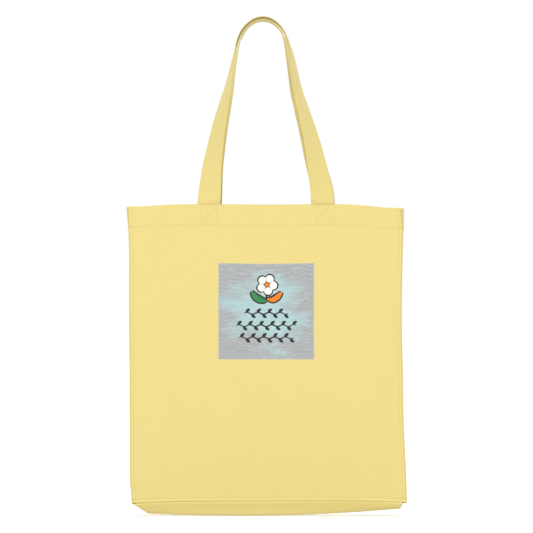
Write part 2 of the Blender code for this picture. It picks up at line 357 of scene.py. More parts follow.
def panel_face(x, z):
    """Height of the panel's outer face over the flat: welts, hem, straps and grooves."""
    side = HALF_W - np.abs(x)
    low = z - SEAM_Z
    edge = np.minimum(side, low)
    welt = WELT_RISE * smooth(edge, WELT + 1.6 * MM, WELT - 0.4 * MM)
    rolled = 0.7 * MM * smooth(edge, 1.4 * MM, 0.0)
    hem_edge = 0.22 * MM * smooth(z, TOP_Z - HEM - 1.2 * MM, TOP_Z - HEM + 0.6 * MM)
    return welt - rolled + hem_edge + strap_print_through(x, z) - sewn_groove(x, z)


def panel_painted_shading(x, z):
    """Painted light and shade: painted shade in the sewn grooves, beside the strap ends and along the
    outermost side edges, painted highlights along the raised seam edges.
    """
    side = HALF_W - np.abs(x)
    low = z - SEAM_Z
    # painted highlights along the raised welts, painted shade along the outermost side edges
    ridge = 0.8 * smooth(low, 3.5 * MM, 1.5 * MM) * smooth(side, 0.0, 2 * MM)
    ridge = np.maximum(ridge, 0.45 * bump(side, 3.3 * MM, 1.2 * MM) * smooth(low, 0.0, 2 * MM))
    ridge = ridge - 1.9 * smooth(side, 2.2 * MM, 1.2 * MM)
    # painted shade beside the strap ends at the hem's lower edge
    away = np.abs(np.abs(x) - abs(STRAP_X)) - STRAP_W / 2
    strap_edge = 0.35 * bump(away, 0.6 * MM, 1.2 * MM) * smooth(z, tail_low.z - MM, tail_low.z + MM)
    # painted shade in the grooves of the rows of stitches
    return ridge - sewn_groove(x, z) / (0.42 * MM) * 0.6 - strap_edge


def panel_columns():
    edge = spaced(0.0, WELT + 3 * MM, 0.8 * MM)
    strap_in, strap_out = abs(STRAP_X) - STRAP_W / 2 - 2 * MM, abs(STRAP_X) + STRAP_W / 2 + 2 * MM
    right = joined(
        spaced(0.0, strap_in, 3.2 * MM),
        spaced(strap_in, strap_out, 0.9 * MM),
        spaced(strap_out, HALF_W - edge[-1], 3.2 * MM),
        HALF_W - edge[::-1],
    )
    return joined(-right[::-1], right)


def cloth_rows(low):
    """Places up a piece's face, over the folded top and down inside to the hem's edge.

    Each is (offset behind the face, height, way out of the cloth across and up, length)."""
    radius = CLOTH / 2 + FOLD_GAP / 2
    fold_z = TOP_Z - radius - CLOTH / 2
    up = joined(
        spaced(low, low + WELT + 3 * MM, 0.9 * MM),
        spaced(low + WELT + 3 * MM, TOP_Z - HEM - 4 * MM, 3.2 * MM),
        spaced(TOP_Z - HEM - 4 * MM, fold_z, 1.0 * MM),
    )
    rows = [(CLOTH / 2, z, -1.0, 0.0, z - low) for z in up]
    length = fold_z - low
    for step in range(1, 8):
        angle = math.pi * step / 8
        across = CLOTH / 2 + radius * (1 - math.cos(angle))
        rows.append(
            (across, fold_z + radius * math.sin(angle), -math.cos(angle), math.sin(angle),
             length + radius * angle)
        )
    length += radius * math.pi
    for z in spaced(fold_z, TOP_Z - HEM, 3.5 * MM):
        rows.append((CLOTH / 2 + 2 * radius, z, 1.0, 0.0, length + fold_z - z))
    return np.array(rows), len(up)


def panel(name, side, material, seed):
    """The front (side -1) or back (side 1) panel with its turned hem."""
    rows, face_rows = cloth_rows(SEAM_Z)
    columns = panel_columns()
    x = np.broadcast_to(columns, (len(rows), len(columns)))
    z = np.broadcast_to(rows[:, 1:2], x.shape)
    lift = panel_face(x, z)
    lift = lift * np.where(np.arange(len(rows)) < face_rows, 1.0, 0.25)[:, None]
    face = FRONT_Y if side < 0 else BACK_Y
    grids = []
    for way in (1.0, -1.0):
        behind = rows[:, 0:1] + way * rows[:, 2:3] * CLOTH / 2
        up = z + way * rows[:, 3:4] * CLOTH / 2
        y = face - side * (behind - lift)
        grids.append(hang(np.stack([x, y, up], axis=-1)))
    uv = np.stack([x + seed, np.broadcast_to(rows[:, 4:5], x.shape)], axis=-1)
    tone = panel_painted_shading(x, z) * (np.arange(len(rows)) < face_rows)[:, None]
    return cloth(name, grids[0], grids[1], uv, material, tone)


def side_strip(name, side, material):
    """The left (side -1) or right (side 1) gusset with its turned hem."""
    rows, face_rows = cloth_rows(SEAM_Z)
    depth = np.linspace(FRONT_Y + TUCK, BACK_Y - TUCK, 49)
    y = np.broadcast_to(depth, (len(rows), len(depth)))
    foot = base_z(np.full(len(depth), side * HALF_W), depth)
    z = np.broadcast_to(rows[:, 1:2], y.shape)
    foot = foot - bottom_shift(side * HALF_W)
    z = z + (foot - SEAM_Z + 0.6 * MM) * smooth(z, SEAM_Z + 0.03, SEAM_Z)
    hem_edge = 0.2 * MM * smooth(z, TOP_Z - HEM - MM, TOP_Z - HEM + MM)
    lift = hem_edge - 0.22 * MM * bump(z, HEM_LINE_Z, 1.3 * MM)
    lift = lift * np.where(np.arange(len(rows)) < face_rows, 1.0, 0.25)[:, None]
    grids = []
    for way in (1.0, -1.0):
        behind = rows[:, 0:1] + way * rows[:, 2:3] * CLOTH / 2
        up = z + way * rows[:, 3:4] * CLOTH / 2
        x = side * (HALF_W - 0.4 * MM - behind + lift)
        grids.append(hang(np.stack([x, y, up], axis=-1)))
    uv = np.stack([y + 0.7 * side, np.broadcast_to(rows[:, 4:5], y.shape)], axis=-1)
    return cloth(name, grids[0], grids[1], uv, material)


def bottom_strip(name, material):
    """The sagging strip that the bag stands on."""
    end = HALF_W - 0.5 * MM
    columns = joined(
        spaced(-end, -end + 0.03, 1.5 * MM),
        spaced(-end + 0.03, end - 0.03, 3.2 * MM),
        spaced(end - 0.03, end, 1.5 * MM),
    )
    share = np.linspace(-1, 1, 81)
    across = (1.0 - (1.0 - np.abs(share)) ** 2.2) * np.sign(share) * (HALF_D - BASE_TUCK)
    x, y = np.meshgrid(columns, across)
    z = base_z(x, y)
    along_x = np.gradient(z, columns, axis=1)
    along_y = np.gradient(z, across, axis=0)
    along_y = np.clip(along_y, -9.0, 9.0)
    up = np.stack([-along_x, -along_y, np.ones_like(z)], axis=-1)
    up /= np.linalg.norm(up, axis=-1, keepdims=True)
    under = np.stack([x, y, z], axis=-1)
    shift = left_shift(SEAM_Z) * (HALF_W - x) ** 3 + right_shift(SEAM_Z) * (HALF_W + x) ** 3
    under[..., 0] += shift / (2 * HALF_W) ** 3
    top = under + up * CLOTH
    uv = np.stack([x, y + 0.3], axis=-1)
    # painted light and shade on the bottom strip: a painted highlight just under the seam, painted shade
    # below it under the panel's overhanging edge, painted light again lowest down
    drop = SEAM_Z + bottom_shift(x) - z
    tone = 1.8 * smooth(drop, 2.7 * MM, 1.7 * MM) - 1.15 * smooth(drop, 1.9 * MM, 3.0 * MM) * smooth(
        drop, 14 * MM, 8 * MM
    )
    tone = tone + 0.7 * smooth(drop, 14 * MM, 17 * MM)
    return cloth(name, under, top, uv, material, tone)


# ---------------------------------------------------------------- straps
def bezier(start, start_pull, end_pull, end, share):
    rest = 1.0 - share
    return (
        start * rest**3
        + start_pull * 3 * rest**2 * share
        + end_pull * 3 * rest * share**2
        + end * share**3
    )


def leg_line(side, crown_z):
    """Middle line of one leg from its foot to the crown, as (x, height, turn)."""
    centre = np.array([CROWN_SHIFT, crown_z - crown_radius(crown_z)])
    foot = np.array([side * abs(STRAP_X), FOOT_Z])
    foot_way = np.array([-side * math.sin(FOOT_LEAN), math.cos(FOOT_LEAN)])
    crown_way = np.array([-side * math.sin(CROWN_LEAN), math.cos(CROWN_LEAN)])
    outward = np.array([side * math.cos(CROWN_LEAN), math.sin(CROWN_LEAN)])
    shoulder = centre + outward * crown_radius(crown_z)
    pull = np.linalg.norm(shoulder - foot) / 3
    share = np.linspace(0, 1, 105)[:-1, None]
    line = bezier(foot, foot + foot_way * pull, shoulder - crown_way * pull, shoulder, share)
    early = EARLY_TURN[side, crown_z < CROWN_Z]
    return np.concatenate([line, np.minimum(1.0, early * share) ** TURN_POWER], axis=1)


def crown_radius(crown_z):
    return CROWN_RADIUS - (CROWN_Z - crown_z)


def strap_line(crown_z):
    """Middle line of a whole strap, from one end inside the hem to the other."""
    low = np.linspace(tail_low.z, FOOT_Z, 14)[:-1]
    left, right = leg_line(-1, crown_z), leg_line(1, crown_z)
    around = np.linspace(math.pi - CROWN_LEAN, CROWN_LEAN, 41)
    radius = crown_radius(crown_z)
    crown = np.stack(
        [CROWN_SHIFT + radius * np.cos(around), crown_z - radius + radius * np.sin(around),
         np.ones_like(around)], axis=1
    )
    ends = [np.stack([np.full_like(low, s * abs(STRAP_X)), low, 0 * low], axis=1) for s in (-1, 1)]
    return np.concatenate([ends[0], left, crown, right[::-1], ends[1][::-1]])


def strap_slack(x, z):
    """Sideways slack of a strap: fuller shoulders and a slight lean to the left."""
    spread = 5.0 * MM * smooth(z, 0.575, 0.645) * smooth(z, CROWN_Z, CROWN_Z - 0.032)
    lean = -1.9 * MM * smooth(z, 0.440, 0.490) * smooth(z, 0.640, 0.575)
    return lean + spread * np.clip((x - CROWN_SHIFT) / CROWN_RADIUS, -1.0, 1.0)


def back_drift(x, z):
    """Where the back strap hangs off the front one: right at its feet, inwards on the right."""
    feet = 1.4 * MM * np.where(x < 0, smooth(z, 0.620, 0.560), smooth(z, 0.520, 0.450))
    inwards = -2.6 * MM * smooth(z, 0.450, 0.510) * smooth(z, 0.668, 0.622)
    return feet + inwards * smooth(x, 0.0, 0.026)


def strap_frame(side, crown_z):
    """Places and the three directions of a strap along its length, after hanging."""
    line = strap_line(crown_z)
    line[:, 0] += strap_slack(line[:, 0], line[:, 1])
    if side > 0:
        line[:, 0] += back_drift(line[:, 0], line[:, 1])
    places = np.stack([line[:, 0], np.full(len(line), side * abs(STRAP_Y)), line[:, 1]], axis=1)
    length = np.concatenate([[0], np.cumsum(np.linalg.norm(np.diff(places, axis=0), axis=1))])
    turn = line[:, 2]
    loose = smooth(places[:, 2], TOP_Z, TOP_Z + 0.08)[:, None]
    hung = hang(places)
    places = hung * (1 - loose) + places * loose
    sway = np.sin(length * 29.0 + 1.0) * 0.6 + np.sin(length * 61.0 + 2.0) * 0.35
    free = np.sin(math.pi * np.clip(length / length[-1], 0, 1)) ** 0.5 * loose[:, 0]
    places[:, 0] += 0.45 * MM * sway * free
    flow = np.gradient(places, length, axis=0)
    flow /= np.linalg.norm(flow, axis=1, keepdims=True)
    inwards = np.stack([flow[:, 2], 0 * length, -flow[:, 0]], axis=1)
    inwards /= np.linalg.norm(inwards, axis=1, keepdims=True)
    dip = bump(places[:, 0], CROWN_SHIFT + 1 * MM, 0.030)
    dip = dip * smooth(places[:, 2], crown_z - 0.030, crown_z - 0.012)
    tip = math.radians(1.2) * dip
    angle = (turn * CROWN_TURN + tip + 0.03 * sway * free * (1.0 - dip))[:, None]
    widthways = inwards * np.cos(angle) + np.array([0.0, -1.0, 0.0]) * np.sin(angle)
    widthways -= flow * np.sum(widthways * flow, axis=1, keepdims=True)
    widthways /= np.linalg.norm(widthways, axis=1, keepdims=True)
    return places, flow, widthways, np.cross(widthways, flow), length


def strap_half_thickness(across):
    """Half the strap's thickness at each place across it: folded edges, sewn rows."""
    half = STRAP_W / 2
    edge = np.clip((np.abs(across) - (half - STRAP_T / 2)) / (STRAP_T / 2), 0, 1)
    round_edge = np.sqrt(np.clip(1 - edge**2, 0, 1))
    groove = 0.20 * MM * bump(np.abs(across), half - STRAP_ROW_IN, 1.3 * MM)
    crown = 0.05 * MM * bump(across, 0.0, half - STRAP_ROW_IN)
    return (STRAP_T / 2 + crown) * round_edge - groove


def strap_places(side, crown_z, across, face):
    """The line along one face (1 outer, -1 inner) at one place across the strap."""
    places, _, widthways, outwards, _ = strap_frame(side, crown_z)
    height = strap_half_thickness(np.array([across]))[0]
    return places + widthways * across + outwards * face * height, outwards * face


def strap_shade(side, across, places):
    """How dark each place on a strap is tinted near the crown.

    The two handles stand apart, so the shadow that they would cast on each other if they lay
    together is tinted in: on the near one's underside, and on the far one in a band beside
    its inner edge, down the right leg."""
    height = places[:, 2]
    if side < 0:
        underside = (np.arange(2 * len(across)) >= len(across))[None, :]
        return 2.75 * smooth(height, 0.580, 0.650)[:, None] * underside
    from_edge = STRAP_W / 2 - np.concatenate([across, across[::-1]])[None, :]
    climb = smooth(height, 0.500, 0.605)[:, None]
    right_leg = smooth(places[:, 0], 0.0, 0.012)[:, None]
    band = smooth(from_edge, 0.9 * MM, 1.5 * MM) * smooth(from_edge, 5.0 * MM, 3.8 * MM)
    return 2.8 * climb * right_leg * band


def strap(name, side, crown_z, material):
    places, _, widthways, outwards, length = strap_frame(side, crown_z)
    half = STRAP_W / 2
    inner = np.concatenate([np.linspace(0, half - 4.2 * MM, 8), half - np.array(
        [3.7, 3.2, 2.8, 2.5, 2.2, 1.8, 1.4, 1.0, 0.7, 0.42, 0.2, 0.06]) * MM])
    across = np.concatenate([-inner[:0:-1], inner])
    ring = []
    for way, places_across in ((1, across), (-1, across[::-1])):
        for place in places_across:
            lift = way * strap_half_thickness(np.array([place]))[0]
            ring.append(places + widthways * place + outwards * lift)
    ring = np.stack(ring, axis=1)
    rows, around = ring.shape[:2]
    index = np.arange(rows * around).reshape(rows, around)
    nxt = np.roll(index, -1, axis=1)
    quads = np.stack([index[:-1], nxt[:-1], nxt[1:], index[1:]], axis=-1).reshape(-1, 4)
    faces = quads.tolist() + [index[0].tolist(), index[-1][::-1].tolist()]
    item = new_object(name, ring, faces, material)
    face_across = np.concatenate([across, across[::-1] + 0.05])
    uv = np.stack(np.broadcast_arrays(face_across[None, :] + 0.2 * side, length[:, None]), axis=-1)
    write_uv(item, uv.reshape(-1, 2))
    write_tone(item, -strap_shade(side, across, places))
    return point_outwards(item)


# ---------------------------------------------------------------- stitches
def stitch_shape():
    """One stitch: a short arched thread whose two ends dip into the cloth."""
    around, stations = 6, 7
    points, faces = [], []
    for step in range(stations):
        share = step / (stations - 1)
        swell = math.sin(math.pi * (0.06 + 0.88 * share))
        thick = STITCH_WIDE / 2 * swell**0.45
        height = 0.30 * MM * (swell - 0.62)
        for turn in range(around):
            angle = 2 * math.pi * turn / around
            points.append((STITCH_LENGTH * (share - 0.5), thick * math.cos(angle),
                           height + thick * 0.8 * math.sin(angle)))
    for step in range(stations - 1):
        for turn in range(around):
            after = (turn + 1) % around
            faces.append((step * around + turn, step * around + after,
                          (step + 1) * around + after, (step + 1) * around + turn))
    faces.append(tuple(range(around))[::-1])
    faces.append(tuple(range((stations - 1) * around, stations * around)))
    return point_outwards(new_object("one_stitch", points, faces, THREAD))


def stitch_group():
    """Geometry nodes: a stitch on every point, laid along the row and facing out."""
    group = bpy.data.node_groups.new("sewn stitches", "GeometryNodeTree")
    face = group.interface
    face.new_socket("Geometry", in_out="INPUT", socket_type="NodeSocketGeometry")
    face.new_socket("Stitch", in_out="INPUT", socket_type="NodeSocketObject")
    face.new_socket("Thread", in_out="INPUT", socket_type="NodeSocketMaterial")
    face.new_socket("Unevenness", in_out="INPUT", socket_type="NodeSocketFloat")
    face.new_socket("Seed", in_out="INPUT", socket_type="NodeSocketInt")
    face.new_socket("Geometry", in_out="OUTPUT", socket_type="NodeSocketGeometry")
    nodes, links = group.nodes, group.links
    given, result = nodes.new("NodeGroupInput"), nodes.new("NodeGroupOutput")
    along, out = nodes.new("GeometryNodeInputNamedAttribute"), nodes.new("GeometryNodeInputNamedAttribute")
    for node, word in ((along, "along"), (out, "out")):
        node.data_type = "FLOAT_VECTOR"
        node.inputs["Name"].default_value = word
    turn = nodes.new("FunctionNodeAxesToRotation")
    turn.primary_axis, turn.secondary_axis = "X", "Z"
    links.new(along.outputs["Attribute"], turn.inputs["Primary Axis"])
    links.new(out.outputs["Attribute"], turn.inputs["Secondary Axis"])
    shape = nodes.new("GeometryNodeObjectInfo")
    links.new(given.outputs["Stitch"], shape.inputs["Object"])
    less, more = nodes.new("ShaderNodeMath"), nodes.new("ShaderNodeMath")
    less.operation, more.operation = "SUBTRACT", "ADD"
    vary = nodes.new("FunctionNodeRandomValue")
    vary.data_type = "FLOAT"
    for node, socket in ((less, 2), (more, 3)):
        node.inputs[0].default_value = 1.0
        links.new(given.outputs["Unevenness"], node.inputs[1])
        links.new(node.outputs[0], vary.inputs[socket])
    links.new(given.outputs["Seed"], vary.inputs["Seed"])
    place = nodes.new("GeometryNodeInstanceOnPoints")
    links.new(given.outputs["Geometry"], place.inputs["Points"])
    links.new(shape.outputs["Geometry"], place.inputs["Instance"])
    links.new(turn.outputs["Rotation"], place.inputs["Rotation"])
    links.new(vary.outputs[1], place.inputs["Scale"])
    real, dress = nodes.new("GeometryNodeRealizeInstances"), nodes.new("GeometryNodeSetMaterial")
    links.new(place.outputs["Instances"], real.inputs["Geometry"])
    links.new(real.outputs["Geometry"], dress.inputs["Geometry"])
    links.new(given.outputs["Thread"], dress.inputs["Material"])
    links.new(dress.outputs["Geometry"], result.inputs["Geometry"])
    return group


def spread_row(points, outs, pitch):
    """Evenly spaced places along a line, each with its way along and way out."""
    length = np.concatenate([[0], np.cumsum(np.linalg.norm(np.diff(points, axis=0), axis=1))])
    count = max(1, int(length[-1] / pitch))
    at = (np.arange(count) + 0.5) * length[-1] / count
    step = 0.4 * MM
    where = [np.stack([np.interp(at + s, length, points[:, k]) for k in range(3)], axis=1)
             for s in (-step, 0.0, step)]
    out = np.stack([np.interp(at, length, outs[:, k]) for k in range(3)], axis=1)
    return where[1], where[2] - where[0], out


def sew(name, rows, seed, pitch=None):
    """One mesh of stitches along every given row of (points, outs)."""
    spread = [spread_row(points, outs, pitch or STITCH_PITCH) for points, outs in rows]
    places, along, out = (np.concatenate(part) for part in zip(*spread))
    mesh = bpy.data.meshes.new(name + "_points")
    mesh.from_pydata(places.tolist(), [], [])
    for word, value in (("along", along), ("out", out)):
        layer = mesh.attributes.new(word, "FLOAT_VECTOR", "POINT")
        value = value / np.linalg.norm(value, axis=1, keepdims=True)
        layer.data.foreach_set("vector", value.astype(np.float32).ravel())
    carrier = bpy.data.objects.new(name + "_points", mesh)
    bpy.context.scene.collection.objects.link(carrier)
    modifier = carrier.modifiers.new("stitches", "NODES")
    modifier.node_group = STITCHES
    sockets = {s.name: s.identifier for s in STITCHES.interface.items_tree if s.in_out == "INPUT"}
    modifier[sockets["Stitch"]] = ONE_STITCH
    modifier[sockets["Thread"]] = THREAD
    modifier[sockets["Unevenness"]] = 0.07
    modifier[sockets["Seed"]] = seed
    bpy.context.view_layer.update()
    solid = carrier.evaluated_get(bpy.context.evaluated_depsgraph_get())
    made = bpy.data.meshes.new_from_object(solid)
    made.name = name
    made.shade_smooth()
    bpy.data.objects.remove(carrier)
    item = bpy.data.objects.new(name, made)
    bpy.context.scene.collection.objects.link(item)
    return item


def on_panel(side, x, z, height):
    """Places over a panel's outer face."""
    x, z = np.broadcast_arrays(np.asarray(x, float), np.asarray(z, float))
    face = FRONT_Y if side < 0 else BACK_Y
    return hang(np.stack([x, face + side * (panel_face(x, z) + height), z], axis=-1))


def in_panel(side, x, z, depth):
    """Places behind a panel's outer face, inside the bag."""
    x, z = np.broadcast_arrays(np.asarray(x, float), np.asarray(z, float))
    face = FRONT_Y if side < 0 else BACK_Y
    return hang(np.stack([x, face - side * depth + 0 * x, z], axis=-1))


def panel_row(side, x, z, inside=None):
    if inside is None:
        low, high = on_panel(side, x, z, 0.05 * MM), on_panel(side, x, z, 1.0 * MM)
    else:
        low, high = in_panel(side, x, z, inside), in_panel(side, x, z, inside + 1.0 * MM)
    return low, high - low


def strip_row(side, y, z, inside=False):
    """A row across a side strip."""
    y, z = np.broadcast_arrays(np.asarray(y, float), np.asarray(z, float))
    depth = 2.2 * MM if inside else -0.02 * MM
    way = -1 if inside else 1
    x = side * (HALF_W - 0.4 * MM - depth)
    low = hang(np.stack([x + 0 * y, y, z], axis=-1))
    high = hang(np.stack([x + side * way * MM + 0 * y, y, z], axis=-1))
    return low, high - low


def line(start, end, count=160):
    return np.linspace(start, end, count)


def seam_rows(side):
    """The rows sewn down a panel's sides, along its bottom and along its hem."""
    edge = HALF_W - STITCH_IN
    foot = SEAM_Z + STITCH_IN
    rows = [panel_row(side, x, line(foot, TOP_Z - 1.5 * MM)) for x in (-edge, edge)]
    rows.append(panel_row(side, line(-edge, edge), foot))
    rows.append(panel_row(side, line(-edge, edge), HEM_LINE_Z))
    rows.append(panel_row(side, line(-edge, edge), HEM_LINE_Z, inside=2.2 * MM))
    return rows


def square_rows(side, hand):
    """The square sewn through a strap's end, with its two diagonals."""
    middle_z = (square_low.z + square_high.z) / 2
    half = (square_high.z - square_low.z) / 2 - 0.4 * MM
    centre = hand * abs(STRAP_X)
    corners = [(-half, -half), (half, -half), (half, half), (-half, half)]
    pairs = list(zip(corners, corners[1:] + corners[:1]))
    pairs += [(corners[0], corners[2]), (corners[1], corners[3])]
    rows = []
    for (ax, az), (bx, bz) in pairs:
        x, z = centre + line(ax, bx, 24), middle_z + line(az, bz, 24)
        rows.append(panel_row(side, x, z))
        rows.append(panel_row(side, x, z, inside=2 * CLOTH + 0.3 * MM + STRAP_T))
    return rows


def strap_rows(side, crown_z):
    rows = []
    for across in (STRAP_ROW_IN - STRAP_W / 2, STRAP_W / 2 - STRAP_ROW_IN):
        for face in (1, -1):
            points, outs = strap_places(side, crown_z, across, face)
            above = points[:, 2] > TOP_Z + 1.5 * MM
            rows.append((points[above], outs[above]))
    return rows


# ---------------------------------------------------------------- bindings
def tape(name, side, x, z, across, material):
    """A folded tape over the raw seam edges inside the bag; across is 0 or 1, its narrow way."""
    grid_x, grid_z = np.meshgrid(x, z)
    narrow = (grid_x - x[0]) / (x[-1] - x[0]) if across == 0 else (grid_z - z[0]) / (z[-1] - z[0])
    dome = np.sqrt(np.clip(1 - np.abs(2 * narrow - 1) ** 6, 0, 1))
    groove = 0.15 * MM * bump(narrow, 0.78, 0.14)
    near = in_panel(side, grid_x, grid_z, 1.35 * MM)
    far = in_panel(side, grid_x, grid_z, 2.1 * MM + 0.7 * MM * dome - groove)
    uv = np.stack([grid_x, grid_z], axis=-1)
    return cloth(name, near, far, uv, material)


# ---------------------------------------------------------------- print
PRINT_X, PRINT_Z = (print_low.x + print_high.x) / 2, (print_low.z + print_high.z) / 2
PRINT_HALF = (print_high.x - print_low.x) / 2


def ribbon(path, width):
    """A flat stroke along a path: width gives its breadth from 0 to 1 along it."""
    path = np.asarray(path, float)
    way = np.gradient(path, axis=0)
    way /= np.linalg.norm(way, axis=1, keepdims=True)
    aside = np.stack([-way[:, 1], way[:, 0]], axis=1)
    share = np.linspace(0, 1, len(path))
    half = np.array([width(s) for s in share])[:, None] / 2
    points = np.concatenate([path + aside * half * k for k in (-1, 0, 1)])
    n = len(path)
    faces = []
    for k in (0, 1):
        for i in range(n - 1):
            faces.append((k * n + i, k * n + i + 1, (k + 1) * n + i + 1, (k + 1) * n + i))
    return points, faces


def round_shape(centre, radius, count=72, rings=4):
    """A flat shape round a centre whose edge is radius(angle) away."""
    angle = np.linspace(0, 2 * math.pi, count, endpoint=False)
    reach = np.array([radius(a) for a in angle])
    points = [np.array([centre])]
    for ring in range(1, rings + 1):
        points.append(centre + (ring / rings) * reach[:, None] * np.stack([np.cos(angle), np.sin(angle)], 1))
    faces = [(0, 1 + i, 1 + (i + 1) % count) for i in range(count)]
    for ring in range(rings - 1):
        low, high = 1 + ring * count, 1 + (ring + 1) * count
        faces += [(low + i, high + i, high + (i + 1) % count, low + (i + 1) % count) for i in range(count)]
    return np.concatenate(points), faces


def printed(name, shapes, height, material):
    """Closed thin layer of ink from flat shapes, lying on the front panel."""
    points, faces = [], []
    start = 0
    for flat, cells in shapes:
        count = len(flat)
        x, z = PRINT_X + flat[:, 0], PRINT_Z + flat[:, 1]
        points += [on_panel(-1, x, z, height), on_panel(-1, x, z, 0.02 * MM)]
        edges = {}
        for cell in cells:
            for one, two in zip(cell, cell[1:] + cell[:1]):
                edges[(one, two)] = True
        faces += [tuple(start + v for v in cell) for cell in cells]
        faces += [tuple(start + count + v for v in cell[::-1]) for cell in cells]
        for one, two in edges:
            if (two, one) not in edges:
                faces.append((start + one, start + count + one, start + count + two, start + two))
        start += 2 * count
    item = new_object(name, np.concatenate(points), faces, material, smooth_shade=False)
    flat_uv = np.concatenate([np.concatenate([flat, flat]) for flat, cells in shapes])
    write_uv(item, flat_uv)
    return point_outwards(item)


def ground_shape():
    across = np.linspace(-PRINT_HALF, PRINT_HALF, 61)
    x, z = np.meshgrid(across, across)
    index = np.arange(61 * 61).reshape(61, 61)
    quads = np.stack([index[:-1, :-1], index[:-1, 1:], index[1:, 1:], index[1:, :-1]], axis=-1)
    return np.stack([x.ravel(), z.ravel()], axis=1), [tuple(q) for q in quads.reshape(-1, 4).tolist()]


def curve(points, count=24):
    """A smooth path through a few places."""
    points = np.asarray(points, float)
    share = np.linspace(0, len(points) - 1, count)
    low = np.clip(share.astype(int), 0, len(points) - 2)
    part = (share - low)[:, None]
    before, after = points[np.clip(low - 1, 0, None)], points[np.clip(low + 2, None, len(points) - 1)]
    here, there = points[low], points[low + 1]
    return 0.5 * (
        2 * here
        + (there - before) * part
        + (2 * before - 5 * here + 4 * there - after) * part**2
        + (3 * here - before - 3 * there + after) * part**3
    )


def vine(level, leaves):
    """One row of vine: a swaying stem with a leaf on each bend, alternately up and down."""
    pitch = 7.6
    reach = leaves * pitch / 2

    def sway(at):
        return level + 1.3 * math.cos((at + reach - pitch / 2) * math.pi / pitch)

    stem = [(s * MM, sway(s) * MM) for s in np.linspace(-reach, reach, 12 * leaves)]
    shapes = [ribbon(stem, lambda s: (0.5 + 1.5 * math.sin(math.pi * s) ** 0.3) * MM)]
    for item in range(leaves):
        at = -reach + (item + 0.35) * pitch
        up = 1 if item % 2 == 0 else -1
        root = np.array([at, sway(at)])
        blade = curve((root + np.array([(0, 0), (2.1, 2.7 * up), (5.4, 5.0 * up)])) * MM, 14)
        shapes.append(ribbon(blade, lambda s: 4.3 * MM * math.sin(math.pi * (0.04 + 0.93 * s)) ** 0.8))
    return shapes


def motif():
    """A daisy on a stem with two leaves, over three rows of leafy vine."""
    line_width = 2.1 * MM
    head = np.array([1.0, 37.0]) * MM
    dark, white, green, orange = [], [], [], []

    def petals(extra):
        return lambda a: (9.0 + 5.0 * abs(math.cos(2.5 * a + 0.3)) ** 0.7) * MM + extra

    def leaf(size, extra):
        return lambda s: (size * math.sin(math.pi * (0.03 + 0.94 * s)) ** 0.8) + 2 * extra

    stem = curve(np.array([(1.0, 30.0), (0.2, 22.0), (1.6, 13.0)]) * MM)
    left_leaf = curve(np.array([(0.9, 14.5), (-7.5, 16.0), (-15.0, 20.5), (-20.5, 28.0)]) * MM)
    right_leaf = curve(np.array([(1.3, 17.5), (9.0, 16.5), (16.0, 20.5), (21.5, 27.0)]) * MM)
    dark.append(ribbon(stem, lambda s: 2.6 * MM))
    dark.append(ribbon(left_leaf, leaf(8.5 * MM, line_width)))
    dark.append(ribbon(right_leaf, leaf(8.0 * MM, line_width)))
    dark.append(round_shape(head, petals(line_width)))
    green.append(ribbon(left_leaf, leaf(8.5 * MM, 0.0)))
    orange.append(ribbon(right_leaf, leaf(8.0 * MM, 0.0)))
    white.append(round_shape(head, petals(0.0)))
    orange.append(round_shape(head, lambda a: 3.2 * MM, 36, 3))
    details = [ribbon(curve(p * MM), lambda s: 0.7 * MM) for p in (
        np.array([(-1.5, 15.5), (-8.0, 18.3), (-13.0, 22.5)]),
        np.array([(3.5, 18.3), (9.0, 20.0), (14.0, 23.8)]),
    )]
    for turn in range(5):
        angle = (turn * 2 * math.pi + math.pi - 0.6) / 5
        way = np.array([math.cos(angle), math.sin(angle)])
        details.append(ribbon(np.array([head + way * r * MM for r in np.linspace(3.6, 8.0, 6)]),
                              lambda s: (0.9 - 0.5 * s) * MM))
    ring = [head + 3.6 * MM * np.array([math.cos(a), math.sin(a)]) for a in np.linspace(0, 2 * math.pi, 49)]
    details.append(ribbon(ring, lambda s: 0.9 * MM))
    for level, leaves in ((-2.6, 8), (-19.6, 11), (-36.4, 10)):
        dark += vine(level, leaves)
    return dark, white, green, orange, details


